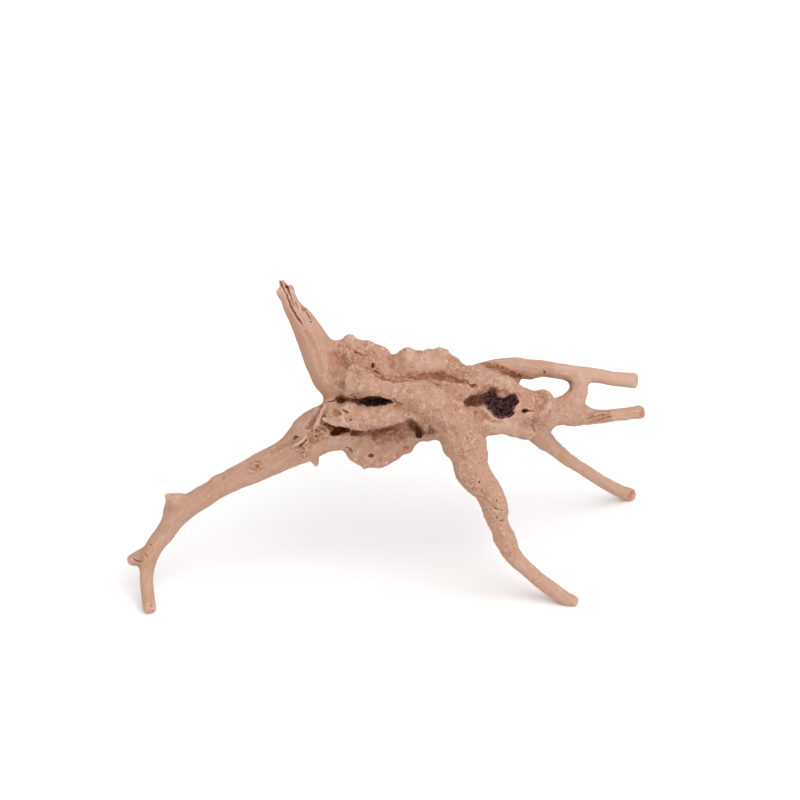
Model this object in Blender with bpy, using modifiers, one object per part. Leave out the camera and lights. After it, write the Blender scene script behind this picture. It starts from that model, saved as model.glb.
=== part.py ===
"""A bogwood root: a knobbly body of grown-together strands, a torn horn, two legs and three thin branches."""

import math

import bmesh
import bpy
import numpy as np
from mathutils import Matrix, Vector, noise
from mathutils.kdtree import KDTree

MM = 0.001
NODE_NAME = "bogwood_root"

# Driving dimensions, in millimetres
VOXEL = 0.8
SWELL = 2.4
BLEND_ROUNDS = 6
STRAND_SIDES = 8
FLOOR_LENGTH = 500.0
FLOOR_WIDTH = 400.0
FLOOR_MARGIN = 40.0
MOST_TRIANGLES = 11_700
LUMP_SIZE = 8.0
LUMP_HEIGHT = 1.4
BARK_SIZE = 3.6
BARK_HEIGHT = 0.4
BRANCH_SHARE = 0.16
SQUARENESS = 0.45
HOLLOW_MOUTH = 16.0
HOLLOW_LEAN = 30.0
HOLLOW_TAPER = ((0.7, 0.92), (0.3, 0.6))

# Strands of the body: x, y, z and radius of each point, in millimetres
RIDGE = [
    (-34, -14, 143, 5.6), (-25.5, -13, 141.5, 7.9), (-19, -11, 141, 8.7), (-10, -10, 136, 9.6),
    (2.5, -9, 129, 8.8), (13.5, -8, 129.5, 9.9), (28.5, -9, 130, 10.2), (41, -12, 125.5, 9.3),
    (55.5, -17, 124, 7.9), (64.5, -18, 124, 7.1), (71.5, -17.5, 120, 5.4), (78.5, -16, 112.5, 6),
]
MIDDLE_STRAND = [
    (-20, -26, 131.5, 10), (-10, -30, 131, 7.8), (1.5, -31, 129.5, 6.7), (11.5, -31, 127, 7.2),
    (21.5, -31, 122.5, 9.5), (31, -30, 115.5, 11.2), (40, -30, 105, 12.4),
]
GROOVE_FLOOR = [
    (-16, -19, 134.5, 7), (2, -18.5, 127.5, 6), (20, -18, 124, 7), (38, -19, 119.5, 7), (54, -18, 116, 7),
]
LOWER_STRAND = [
    (-35, -38, 114.5, 1.1), (-29, -37, 113, 2.8), (-22.5, -36, 114.5, 5.3), (-16, -35, 113, 7),
    (-9, -35, 113, 7), (1.5, -34, 114.5, 6.4), (11.5, -32, 115.5, 6.2), (21.5, -31, 114, 6.7),
    (30.5, -31, 109, 8.4),
]
SADDLE = [(-38, -25, 110.5, 5), (-32, -29.5, 113.7, 4.4), (-25.5, -33, 115.5, 4.2), (-18, -34, 116.5, 4)]
BELLY = [
    (-18.5, -17, 92.5, 11), (-10.5, -13, 83, 14), (-1, -11, 83.5, 13.9), (7, -11, 89, 11.5),
    (15, -12, 91, 9.2), (26.5, -15, 95, 8.6), (36.5, -20, 94.5, 7.4),
]
CORE = [
    (-23, -14, 122, 11.3), (-3.5, -12, 112, 12.5), (19.5, -11, 110.5, 14), (42, -13, 110, 13.4),
    (64, -16, 109, 12), (82, -14, 106, 10.9),
]
BACK_STRAND = [
    (-24, -6, 124, 8), (-6, 0, 116, 8.5), (18, 1, 112, 9), (44, -1, 108, 9), (66, -2, 107, 8.5),
    (80, -6, 106, 8),
]
POCKET_RIM = [
    (45, -29, 105, 8.5), (54.5, -25, 101, 5.7), (63, -23, 100, 4.9), (71.5, -21, 97.5, 5.1),
    (82.5, -16, 94.5, 6.9),
]
KNUCKLE = [(84.5, -13, 109, 10.8), (90, -10, 100, 9.8), (84, -11, 94.5, 10.3)]
BODY_STRANDS = [
    RIDGE, MIDDLE_STRAND, GROOVE_FLOOR, LOWER_STRAND, SADDLE, BELLY, CORE, BACK_STRAND, POCKET_RIM, KNUCKLE,
]

# Knobs along the top of the ridge and on the hidden back: centre and radius
KNOBS = [
    (-20, -12, 146.5, 5.4), (-11.5, -10, 143.5, 5.4), (-3.5, -9, 138.5, 5.8), (12.5, -8, 135.5, 6.6),
    (21.5, -8, 135, 6), (31, -9, 137, 6), (2, 3, 122, 7), (34, 5, 112, 7), (58, 4, 104, 6),
    (-10, -4, 101, 7),
]
BELLY_LOBES = [(-10.5, -14, 74, 4.6), (-2.5, -12, 74.5, 4), (4, -12, 76, 4.2), (11.5, -13, 80.5, 4)]

# Limbs that leave the body
HORN = [
    (-57, 6, 172, 4.4), (-54.5, 3, 168.5, 4.7), (-53, 0, 165.5, 5), (-49.5, -3, 161.5, 6.3),
    (-46.5, -6, 158, 7.3), (-40, -11, 147, 9), (-36.5, -14, 140.5, 10.1), (-32.5, -17, 134.5, 10.9),
    (-27.5, -19, 128, 11), (-19, -18, 122, 9),
]
HORN_HEEL = [(-38, -18, 132.5, 5.6), (-33, -20, 125.5, 6.2), (-27, -22, 121, 5.1)]
LEFT_ARM = [
    (-6, -9, 92, 8), (-20.5, -17, 94.5, 12), (-30.5, -22, 99, 13.6), (-36.5, -23, 97.5, 13.4),
    (-41, -24, 95.5, 13), (-45.5, -25, 91.5, 12), (-50.5, -26, 88, 10.5), (-57, -27, 84, 8.8),
    (-65, -28, 80, 8.4), (-74, -29, 75.5, 7.8), (-83.5, -30, 71, 7.2), (-94, -31, 65.5, 6.6),
    (-104, -32, 59, 6.6), (-113, -33, 53.5, 6.9), (-118.5, -34, 49, 7.1), (-123.5, -35, 43, 6.5),
    (-127.7, -37, 36.5, 5.8), (-132.5, -39, 31, 5.5), (-136.5, -42, 24.5, 5.2), (-138, -44, 19.5, 4.8),
    (-138.5, -48, 15.5, 4.3), (-138, -53, 12, 4), (-137, -59, 7.4, 4), (-135.5, -66, 1.6, 3.8),
]
ARM_STEP = [(-91.5, -31, 69, 4), (-97.5, -31, 69, 3.1), (-101, -31, 65.5, 2.3)]
ARM_SPUR = [
    (-116.5, -33, 51, 7.5), (-120, -33, 54.5, 6), (-123.5, -33, 56.5, 3.9), (-125, -33, 58.5, 2.2),
    (-126, -33, 60, 1),
]
SPUR_EDGE = [(-125, -33, 57.5, 1.7), (-125.5, -33, 51, 2.9), (-124.5, -34, 45, 4.6)]
ARM_STUB = [
    (-135, -40, 28, 3.5), (-141.5, -40, 23.5, 3.8), (-146.5, -40, 20.5, 3.7), (-149.5, -40, 18.8, 3.4),
]
FRONT_LEG = [
    (40, -30, 105, 12.4), (44.5, -33, 94.5, 12.7), (47, -36, 88.5, 10.7), (48.5, -38, 81.5, 10.2),
    (52, -40, 75.5, 9.4), (56.8, -42, 70.5, 7.9), (60, -44, 65, 7.8), (62, -45, 59, 7.8),
    (63, -46, 53, 6.4), (65, -47, 47, 5.9), (67.5, -48, 41.5, 6.5), (70, -49, 35, 5.8),
    (74, -50, 28.5, 5.1), (80.5, -51, 21.5, 4.7), (89, -52, 13.5, 4.5), (97.5, -53.5, 7, 4.4),
    (104.5, -55, 2.8, 4.1), (110.5, -56, 0.6, 3.4),
]
REAR_LEG = [
    (85, -11, 94.5, 9.2), (89.5, -6, 83.5, 6.7), (96, 0, 73.5, 5.1), (102.5, 8, 63, 4.4),
    (112.5, 19, 49, 4.1), (124, 31, 34, 4), (136, 42, 19.5, 4.1), (147, 51.5, 7.8, 4.2),
    (154, 57.5, 1.2, 4.4),
]
SIDE_BRANCH = [
    (85, -12, 103, 9.1), (94, -8, 100, 8), (102.5, -4, 99, 8.6), (110.5, 0, 94.5, 7.2),
    (119, 5, 90, 5.1), (127.5, 11, 86.5, 4.2), (139, 17, 84.5, 3.9), (152, 23, 82.5, 4.1),
]
TOP_BRANCH = [
    (48, -6, 124.5, 5.1), (55, -2, 124, 5.4), (62, 2, 123.5, 5.6), (70, 6, 122, 5.8), (77, 9, 120.5, 5.7),
    (82.5, 11, 118, 6.1), (88, 12, 118, 5.2), (96, 14, 116, 4.9), (105.5, 15.5, 113.5, 4.9),
    (115, 17, 111.5, 4.8), (125, 18, 109.5, 4.4), (134.5, 19.5, 107, 4.4), (147, 21, 104.7, 4.7),
]
BRIDGE = [(106.5, -2, 102, 7.6), (109.7, 3, 104.5, 6.3), (112, 10, 107, 5.4), (112, 15, 111.5, 4.9)]
LIMBS = [
    HORN, HORN_HEEL, LEFT_ARM, ARM_STEP, ARM_SPUR, SPUR_EDGE, ARM_STUB, FRONT_LEG, REAR_LEG, SIDE_BRANCH,
    TOP_BRANCH, BRIDGE,
]

# Sharp small shapes that are added after the joins are softened
HORN_SPLINTERS = [
    [(-56, 2, 168.5, 2.8), (-59, 4, 171.5, 2.4), (-60, 4, 173.5, 1.8)],
    [(-56, 4, 169, 2.2), (-58, 6, 174, 1.6), (-60, 8, 177.5, 0.9)],
    [(-55, 6, 169, 2.3), (-56.5, 8, 173.5, 1.6), (-58, 10, 176.5, 0.9)],
    [(-54, 6, 167, 2.8), (-53.5, 8, 171, 2.3), (-54.5, 9, 173.5, 1.6)],
    [(-44.5, -5, 157.5, 2.2), (-43.5, -4, 161.5, 1.6), (-44, -4, 165, 0.9)],
]
ARM_THORN = [(-42.5, -25, 83, 4.6), (-41, -24, 78, 2.6), (-40, -24, 74, 1)]
BEAK = [(-35.5, -39, 114.5, 1), (-29, -39, 113, 2.8), (-22.5, -38, 114.5, 5)]
SHOULDER_RIDGE = [
    (-32, -24, 112.3, 2.4), (-35, -29.5, 110.2, 2.9), (-37.5, -33, 106.5, 3.2), (-38, -34.5, 103, 3),
]
SPUR_TIP = [(-118, -33, 56.5, 4.4), (-123.5, -33, 58, 3.2), (-126.3, -33, 60, 1.6)]
SHARP_STRANDS = [*HORN_SPLINTERS, ARM_THORN, BEAK, SHOULDER_RIDGE, SPUR_TIP]
SHARP_KNOTS = [
    (-38, -34, 101.5, 4), (-34.5, -34.5, 104, 3.4), (-46.5, -33, 90.8, 4.2), (-51, -32, 91.8, 3.6),
    (-73, -32.8, 79.2, 4), (67.5, -46, 57.5, 2.4),
]

# Hollows seen from the front: depth of the outline's plane, depth into the wood, and its x, z points
OUTLINED_HOLLOWS = {
    "crevice": (-36, 17, [
        (-30.5, 124), (-26.5, 125.5), (-22.5, 126.5), (-16, 125), (-12, 126), (-5, 127.5), (3, 125),
        (9.5, 121.5), (4, 122.5), (0, 121.5), (-4, 120.5), (-8.5, 119.5), (-12.5, 121), (-20.5, 123.5),
        (-27.5, 123),
    ]),
    "pocket": (-27, 14, [
        (51.5, 121.5), (56.5, 125), (60.5, 128), (63, 124), (65.5, 122), (72.5, 124), (74.5, 122),
        (74.5, 118.5), (72.5, 114.5), (72, 110), (69.5, 107.5), (65, 107), (60.5, 108.5), (58, 112.5),
        (55, 115.5), (52.5, 117.5),
    ]),
    "pocket_recess": (-29, 11, [
        (43.5, 119.5), (46, 123), (50, 125), (54.5, 125), (57, 122), (55, 117), (51, 116.3), (44, 116.5),
    ]),
    "under_ledge": (-28, 14, [
        (10.5, 107), (14, 109), (17.5, 106.5), (20.5, 102.5), (21.5, 98), (20, 94.5), (16.5, 95),
        (15, 100), (12, 103),
    ]),
    "under_ledge_end": (-29, 8, [(24, 105), (26.5, 103.5), (28, 100), (26.5, 97), (24.5, 100)]),
    "under_beak": (-34, 11, [
        (-32.5, 110), (-25.5, 107), (-18, 104), (-22.5, 103), (-26.5, 101), (-30.5, 100), (-31.5, 102),
        (-29, 105),
    ]),
    "saddle_slot": (-36, 6, [(-23.5, 119.5), (-20.5, 117), (-20.5, 115.5), (-22, 115.5), (-23.5, 117.5)]),
    "saddle_hole": (-36, 6, [(-29.5, 115.5), (-27, 117), (-24.5, 116.5), (-25, 114.5), (-27.5, 114)]),
    "ridge_slit": (-22, 12, [
        (-17.5, 147), (-15.5, 146.5), (-13, 147), (-13, 144.5), (-16, 144.5), (-18, 146),
    ]),
    "ridge_hole": (-22, 9, [(-8.5, 140.5), (-6.5, 140.5), (-5.7, 138.5), (-7.3, 137), (-9, 138.5)]),
    "ridge_slot": (-23, 7, [(47, 127), (50.5, 127.5), (52, 126.3), (50.5, 124.6), (47.5, 125)]),
    "knuckle_hole": (-27, 7, [
        (76, 112), (77.5, 113.8), (80, 113.8), (81.5, 112), (79.5, 111), (77, 110.7),
    ]),
}

# Shallow hollows: centre, half width, half depth, half height and lean in degrees
ROUND_HOLLOWS = {
    "ledge_shade_left": ((-14, -27, 98.9), (10, 4, 2.2), 25),
    "ledge_shade": ((1, -24, 99.2), (9, 5, 2.6), 25),
    "horn_hollow": ((-29.5, -31.5, 143.5), (4, 4, 7), 10),
    "horn_tear": ((-55.5, 3, 174.5), (1.6, 2.4, 4), -20),
}


def clear_scene():
    for obj in list(bpy.data.objects):
        bpy.data.objects.remove(obj, do_unlink=True)


def new_collection(name):
    made = bpy.data.collections.new(name)
    bpy.context.scene.collection.children.link(made)
    return made


def evaluated_mesh(obj):
    """The object's shape with its modifiers applied, as a new mesh."""
    graph = bpy.context.evaluated_depsgraph_get()
    graph.update()
    return bpy.data.meshes.new_from_object(obj.evaluated_get(graph))


def strand_mesh(points):
    """A round strand through the points, thick as each point says, closed at both ends."""
    curve = bpy.data.curves.new("strand", "CURVE")
    curve.dimensions = "3D"
    curve.bevel_depth = MM
    curve.bevel_resolution = STRAND_SIDES
    curve.resolution_u = 6
    curve.use_fill_caps = True
    spline = curve.splines.new("BEZIER")
    spline.radius_interpolation = "CARDINAL"
    spline.bezier_points.add(len(points) - 1)
    for knot, (x, y, z, radius) in zip(spline.bezier_points, points):
        knot.co = Vector((x, y, z)) * MM
        knot.radius = radius
        knot.handle_left_type = "AUTO"
        knot.handle_right_type = "AUTO"
    guide = bpy.data.objects.new("strand", curve)
    bpy.context.scene.collection.objects.link(guide)
    mesh = evaluated_mesh(guide)
    bpy.data.objects.remove(guide, do_unlink=True)
    return mesh


def ball_mesh(x, y, z, radius):
    mesh = bpy.data.meshes.new("ball")
    shape = bmesh.new()
    bmesh.ops.create_icosphere(shape, subdivisions=3, radius=radius * MM)
    bmesh.ops.translate(shape, verts=shape.verts, vec=Vector((x, y, z)) * MM)
    shape.to_mesh(mesh)
    shape.free()
    return mesh


def joined_mesh(meshes, name):
    """All the closed meshes in one, with doubled points at their caps merged."""
    joined = bmesh.new()
    for mesh in meshes:
        joined.from_mesh(mesh)
    bmesh.ops.remove_doubles(joined, verts=joined.verts, dist=0.00002)
    bmesh.ops.recalc_face_normals(joined, faces=joined.faces)
    made = bpy.data.meshes.new(name)
    joined.to_mesh(made)
    joined.free()
    return made


def apply_modifiers(obj):
    """Bakes the modifiers into the object's mesh and takes them off."""
    baked = evaluated_mesh(obj)
    obj.modifiers.clear()
    obj.data = baked


def add_skin(obj):
    skin = obj.modifiers.new("skin", "REMESH")
    skin.mode = "VOXEL"
    skin.voxel_size = VOXEL * MM


def add_soften(obj, rounds):
    soften = obj.modifiers.new("soften", "SMOOTH")
    soften.factor = 0.5
    soften.iterations = rounds


def add_swell(obj, distance):
    swell = obj.modifiers.new("swell", "DISPLACE")
    swell.mid_level = 0.0
    swell.strength = distance * MM


def grow_together(obj):
    """One skin over all the strands, filled out where they meet, as wood grows over its own joins."""
    add_skin(obj)
    add_swell(obj, SWELL)
    add_skin(obj)
    add_soften(obj, BLEND_ROUNDS)
    add_swell(obj, -SWELL)
    add_skin(obj)
    apply_modifiers(obj)


def fuse(obj, rounds):
    """One skin over overlapping shapes, lightly softened."""
    add_skin(obj)
    add_soften(obj, rounds)
    apply_modifiers(obj)


def add_cutter(name, mesh, cutters):
    cutter = bpy.data.objects.new("cut_" + name, mesh)
    cutter.hide_render = True
    cutter.display_type = "WIRE"
    cutters.objects.link(cutter)
    return cutter


def round_cutter(name, centre, halves, lean, cutters):
    """An egg-shaped cutter, a little squared and uneven, that leans back into the wood."""
    mesh = bpy.data.meshes.new(name)
    shape = bmesh.new()
    bmesh.ops.create_icosphere(shape, subdivisions=3, radius=MM)
    for vert in shape.verts:
        ripple = noise.noise(vert.co * (1.6 / MM) + Vector(centre))
        stretch = max(abs(part) for part in vert.co) / MM
        vert.co *= (1 + 0.2 * ripple) / stretch ** SQUARENESS
    shape.to_mesh(mesh)
    shape.free()
    cutter = add_cutter(name, mesh, cutters)
    cutter.location = Vector(centre) * MM
    cutter.scale = halves
    cutter.rotation_euler = (-math.radians(lean), 0, 0)
    return cutter


def outlined_cutter(name, plane, depth, outline, cutters):
    """A cutter with the outline's shape that runs back and down into the wood and narrows to its end."""
    lean = math.radians(HOLLOW_LEAN)
    inward = Vector((0, math.cos(lean), -math.sin(lean)))
    shape = bmesh.new()
    start = Vector((0, plane, 0)) - inward * HOLLOW_MOUTH
    ring = [shape.verts.new((Vector((x, 0, z)) + start) * MM) for x, z in outline]
    mouth = shape.faces.new(ring)
    end = mouth
    steps = [(HOLLOW_MOUTH, 1.0)] + [(share * depth, narrowing) for share, narrowing in HOLLOW_TAPER]
    for reach, narrowing in steps:
        grown = bmesh.ops.extrude_face_region(shape, geom=[end])["geom"]
        if end != mouth:
            bmesh.ops.delete(shape, geom=[end], context="FACES_ONLY")
        end = next(part for part in grown if isinstance(part, bmesh.types.BMFace))
        bmesh.ops.translate(shape, verts=end.verts, vec=inward * reach * MM)
        middle = end.calc_center_median()
        for vert in end.verts:
            vert.co = middle + (vert.co - middle) * narrowing
    bmesh.ops.recalc_face_normals(shape, faces=shape.faces)
    bmesh.ops.triangulate(shape, faces=shape.faces)
    mesh = bpy.data.meshes.new(name)
    shape.to_mesh(mesh)
    shape.free()
    return add_cutter(name, mesh, cutters)


def cut_hollows(obj, cutters):
    """Takes every hollow out of the body, one cut at a time."""
    made = [outlined_cutter(name, *hollow, cutters) for name, hollow in OUTLINED_HOLLOWS.items()]
    made += [round_cutter(name, *hollow, cutters) for name, hollow in ROUND_HOLLOWS.items()]
    for cutter in made:
        cut = obj.modifiers.new(cutter.name, "BOOLEAN")
        cut.operation = "DIFFERENCE"
        cut.solver = "EXACT"
        cut.object = cutter
    bpy.context.view_layer.update()
    apply_modifiers(obj)


def knobbly_points():
    """Points along every strand, with its radius and whether it belongs to the rough body."""
    places = []
    for strands, rough in ((BODY_STRANDS, 1.0), (LIMBS, BRANCH_SHARE)):
        for strand in strands:
            for (x0, y0, z0, r0), (x1, y1, z1, r1) in zip(strand, strand[1:]):
                steps = max(2, round(math.dist((x0, y0, z0), (x1, y1, z1)) / 2))
                for step in range(steps):
                    t = step / steps
                    centre = Vector((x0, y0, z0)).lerp(Vector((x1, y1, z1)), t)
                    places.append((centre, r0 + (r1 - r0) * t, rough))
    return places


def roughness_of(points):
    """How knobbly the skin is at each point: full on the body, slight along the limbs."""
    places = knobbly_points()
    tree = KDTree(len(places))
    for index, (centre, _, _) in enumerate(places):
        tree.insert(centre, index)
    tree.balance()
    shares = np.empty(len(points))
    for row, point in enumerate(points):
        near = tree.find_n(Vector(point), 8)
        weights = [math.exp(-max(0.0, gap - places[i][1]) / 2.5) for _, i, gap in near]
        shares[row] = sum(w * places[i][2] for w, (_, i, _) in zip(weights, near)) / max(sum(weights), 1e-9)
    return shares


def raise_lumps(obj):
    """Pushes the skin in and out along its normals, in broad lumps and finer bark."""
    mesh = obj.data
    count = len(mesh.vertices)
    points = np.empty(count * 3)
    mesh.vertices.foreach_get("co", points)
    points = points.reshape(-1, 3) / MM
    normals = np.array([vertex.normal for vertex in mesh.vertices])
    shares = roughness_of(points)
    heights = np.empty(count)
    for row, point in enumerate(points):
        place = Vector(point)
        broad = noise.noise(place / LUMP_SIZE)
        fine = noise.noise(place / BARK_SIZE + Vector((7, 3, 5)))
        heights[row] = LUMP_HEIGHT * broad + BARK_HEIGHT * fine
    points += normals * (heights * shares)[:, None]
    mesh.vertices.foreach_set("co", (points * MM).ravel())
    mesh.update()


def keep_largest_shell(obj):
    """Removes closed shells left inside where strands enclose a gap."""
    shape = bmesh.new()
    shape.from_mesh(obj.data)
    shape.verts.ensure_lookup_table()
    unseen = set(shape.verts)
    shells = []
    while unseen:
        start = unseen.pop()
        shell = [start]
        queue = [start]
        while queue:
            for edge in queue.pop().link_edges:
                for vert in edge.verts:
                    if vert in unseen:
                        unseen.remove(vert)
                        shell.append(vert)
                        queue.append(vert)
        shells.append(shell)
    shells.sort(key=len)
    loose = [vert for shell in shells[:-1] for vert in shell]
    bmesh.ops.delete(shape, geom=loose, context="VERTS")
    shape.to_mesh(obj.data)
    shape.free()


def thin_out(obj):
    """Brings the triangle count under the most that the part may have."""
    triangles = sum(len(face.vertices) - 2 for face in obj.data.polygons)
    thin = obj.modifiers.new("thin_out", "DECIMATE")
    thin.ratio = MOST_TRIANGLES / triangles
    thin.use_collapse_triangulate = True
    apply_modifiers(obj)


def cut_feet(obj, cutters):
    """Cuts the three feet flat at the floor."""
    mesh = bpy.data.meshes.new("floor")
    shape = bmesh.new()
    bmesh.ops.create_cube(shape, size=1.0)
    shape.to_mesh(mesh)
    shape.free()
    floor = add_cutter("floor", mesh, cutters)
    floor.scale = (FLOOR_LENGTH * MM, FLOOR_WIDTH * MM, FLOOR_MARGIN * MM)
    floor.location = (0, 0, -FLOOR_MARGIN * MM / 2)
    cut = obj.modifiers.new("cut_feet", "BOOLEAN")
    cut.operation = "DIFFERENCE"
    cut.solver = "EXACT"
    cut.object = floor
    bpy.context.view_layer.update()
    apply_modifiers(obj)


def centre_footprint(obj):
    """Moves the root so that the middle of its box is over the origin."""
    points = np.array([vertex.co for vertex in obj.data.vertices])
    middle = (points.min(axis=0) + points.max(axis=0)) / 2
    obj.data.transform(Matrix.Translation((-middle[0], -middle[1], 0)))
    print("middle of the box before centring, mm:", middle[:2] / MM)


def wood_material():
    material = bpy.data.materials.new("pale_bogwood")
    material.use_nodes = True
    shader = material.node_tree.nodes["Principled BSDF"]
    shader.inputs["Base Color"].default_value = (0.56, 0.32, 0.22, 1)
    shader.inputs["Roughness"].default_value = 0.8
    shader.inputs["Metallic"].default_value = 0.0
    return material


def add_shapes(obj, strands, knots):
    """Joins more closed shapes to the root's mesh."""
    meshes = [obj.data]
    meshes += [strand_mesh(points) for points in strands]
    meshes += [ball_mesh(*knot) for knot in knots]
    obj.data = joined_mesh(meshes, NODE_NAME)


def build():
    clear_scene()
    part = new_collection("bogwood_root")
    cutters = new_collection("cutters")
    root = bpy.data.objects.new(NODE_NAME, bpy.data.meshes.new(NODE_NAME))
    part.objects.link(root)
    add_shapes(root, BODY_STRANDS + LIMBS, KNOBS + BELLY_LOBES)
    grow_together(root)
    keep_largest_shell(root)
    cut_hollows(root, cutters)
    add_shapes(root, SHARP_STRANDS, SHARP_KNOTS)
    fuse(root, 2)
    keep_largest_shell(root)
    raise_lumps(root)
    thin_out(root)
    cut_feet(root, cutters)
    centre_footprint(root)
    root.data.materials.append(wood_material())
    root.data.shade_smooth()
    root.data.name = NODE_NAME


build()
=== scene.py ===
"""The looks of the bogwood root: its finely sculpted skin, its wood, the floor, the light and the camera."""

import math

import bmesh
import bpy
import numpy as np
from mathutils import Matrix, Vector
from mathutils.bvhtree import BVHTree


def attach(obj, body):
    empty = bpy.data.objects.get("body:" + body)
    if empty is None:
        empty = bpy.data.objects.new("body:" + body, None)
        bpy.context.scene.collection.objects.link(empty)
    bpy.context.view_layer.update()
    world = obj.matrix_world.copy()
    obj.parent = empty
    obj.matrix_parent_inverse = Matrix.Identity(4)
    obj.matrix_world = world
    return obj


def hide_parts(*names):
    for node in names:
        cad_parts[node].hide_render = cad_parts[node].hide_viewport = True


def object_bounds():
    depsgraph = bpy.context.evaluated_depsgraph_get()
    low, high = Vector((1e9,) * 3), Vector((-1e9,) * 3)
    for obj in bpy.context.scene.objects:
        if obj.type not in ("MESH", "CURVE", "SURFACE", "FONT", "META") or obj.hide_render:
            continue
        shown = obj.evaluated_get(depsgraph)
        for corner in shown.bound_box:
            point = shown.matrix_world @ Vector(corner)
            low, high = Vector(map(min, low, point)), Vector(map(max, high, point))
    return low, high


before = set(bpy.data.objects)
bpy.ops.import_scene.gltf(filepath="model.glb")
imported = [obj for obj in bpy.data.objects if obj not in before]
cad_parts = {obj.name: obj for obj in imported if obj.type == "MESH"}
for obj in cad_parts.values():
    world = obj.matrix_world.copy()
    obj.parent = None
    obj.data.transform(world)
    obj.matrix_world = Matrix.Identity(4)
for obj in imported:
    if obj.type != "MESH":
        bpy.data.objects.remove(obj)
CAD_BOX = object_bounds()

MM = 0.001
NODE = "bogwood_root"

# The photograph's camera: millimetres and degrees
ELEVATION = 30.0
DISTANCE = 1090.0
TARGET = (4.93, 3.52, 104.0)
LENS = 85.0
SENSOR = 36.0
PICTURE = 800

# Skin: millimetres and counts
FINE_VOXEL = 0.45
MOST_TRIANGLES = 194_000
SOFT_ROUNDS = 4
SOFT_SHARE = 0.5
SAME_PLACE = 0.01
FACET_SPLITS = 2
FACET_CURVE = 0.7
TUBE_SIDES = 8
TUBE_TIP = 0.5

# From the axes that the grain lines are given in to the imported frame: millimetres
CENTRING = (-3.07, 3.52, 0.0)

# Grain lines: how rough they are at their two ends, how long the grain runs, then x, y, z and radius
GRAIN_LINES = {
    "ridge": (0.5, 0.6, 3, [
        (-25, -13, 141, 8), (-10, -10, 136, 9.6), (2.5, -9, 129, 9), (28, -9, 130, 10), (55, -17, 124, 8),
        (78, -16, 112, 6),
    ]),
    "middle": (0.75, 0.9, 3, [
        (-20, -26, 131, 10), (1, -31, 129, 7), (21, -31, 122, 9.5), (40, -30, 105, 12),
    ]),
    "lower": (0.45, 0.8, 3, [(-35, -38, 114, 2), (-16, -35, 113, 7), (11, -32, 115, 6), (30, -31, 109, 8)]),
    "belly": (0.3, 0.5, 3, [(-18, -17, 92, 11), (-5, -12, 83, 14), (15, -12, 91, 9), (36, -20, 94, 7)]),
    "back": (0.6, 0.6, 3, [(-24, -6, 124, 8), (18, 1, 112, 9), (66, -2, 107, 8.5), (84, -10, 104, 11)]),
    "rim": (0.5, 0.2, 4, [(45, -29, 105, 8.5), (63, -23, 100, 5), (82, -16, 95, 7)]),
    "horn": (0.0, 0.3, 9, [
        (-58, 6, 173, 4), (-53, 0, 165, 5), (-46, -6, 158, 7.3), (-36, -14, 140, 10), (-27, -19, 128, 11),
    ]),
    "arm": (0.45, 0.0, 9, [
        (-20, -17, 94, 12), (-36, -23, 97, 13.4), (-50, -26, 88, 10.5), (-65, -28, 80, 8.4),
        (-94, -31, 65, 6.6), (-113, -33, 53, 6.9), (-127, -37, 36, 5.8), (-138, -46, 17, 4.5),
        (-135, -66, 1, 3.8),
    ]),
    "stub": (0.1, 0.2, 8, [(-135, -40, 28, 3.5), (-150, -40, 19, 3.5)]),
    "leg": (0.9, 0.1, 7, [
        (42, -31, 100, 12.5), (48, -38, 81, 10.2), (60, -44, 65, 7.8), (65, -47, 47, 6), (74, -50, 28, 5.1),
        (89, -52, 13, 4.5), (110, -56, 1, 3.6),
    ]),
    "rear_leg": (0.3, 0.0, 9, [
        (85, -11, 94, 9), (96, 0, 73, 5.1), (112, 19, 49, 4.1), (136, 42, 19, 4.1), (154, 57, 1, 4.3),
    ]),
    "side_branch": (0.9, 0.1, 7, [
        (85, -12, 103, 9.5), (102, -4, 99, 8.6), (119, 5, 90, 5), (152, 23, 82, 4.1),
    ]),
    "top_branch": (0.3, 0.0, 9, [
        (48, -6, 124, 5), (80, 10, 119, 6), (105, 15, 113, 5), (147, 21, 105, 4.6),
    ]),
    "bridge": (0.1, 0.1, 6, [(106, -2, 102, 7.6), (112, 15, 111, 5)]),
}

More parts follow.
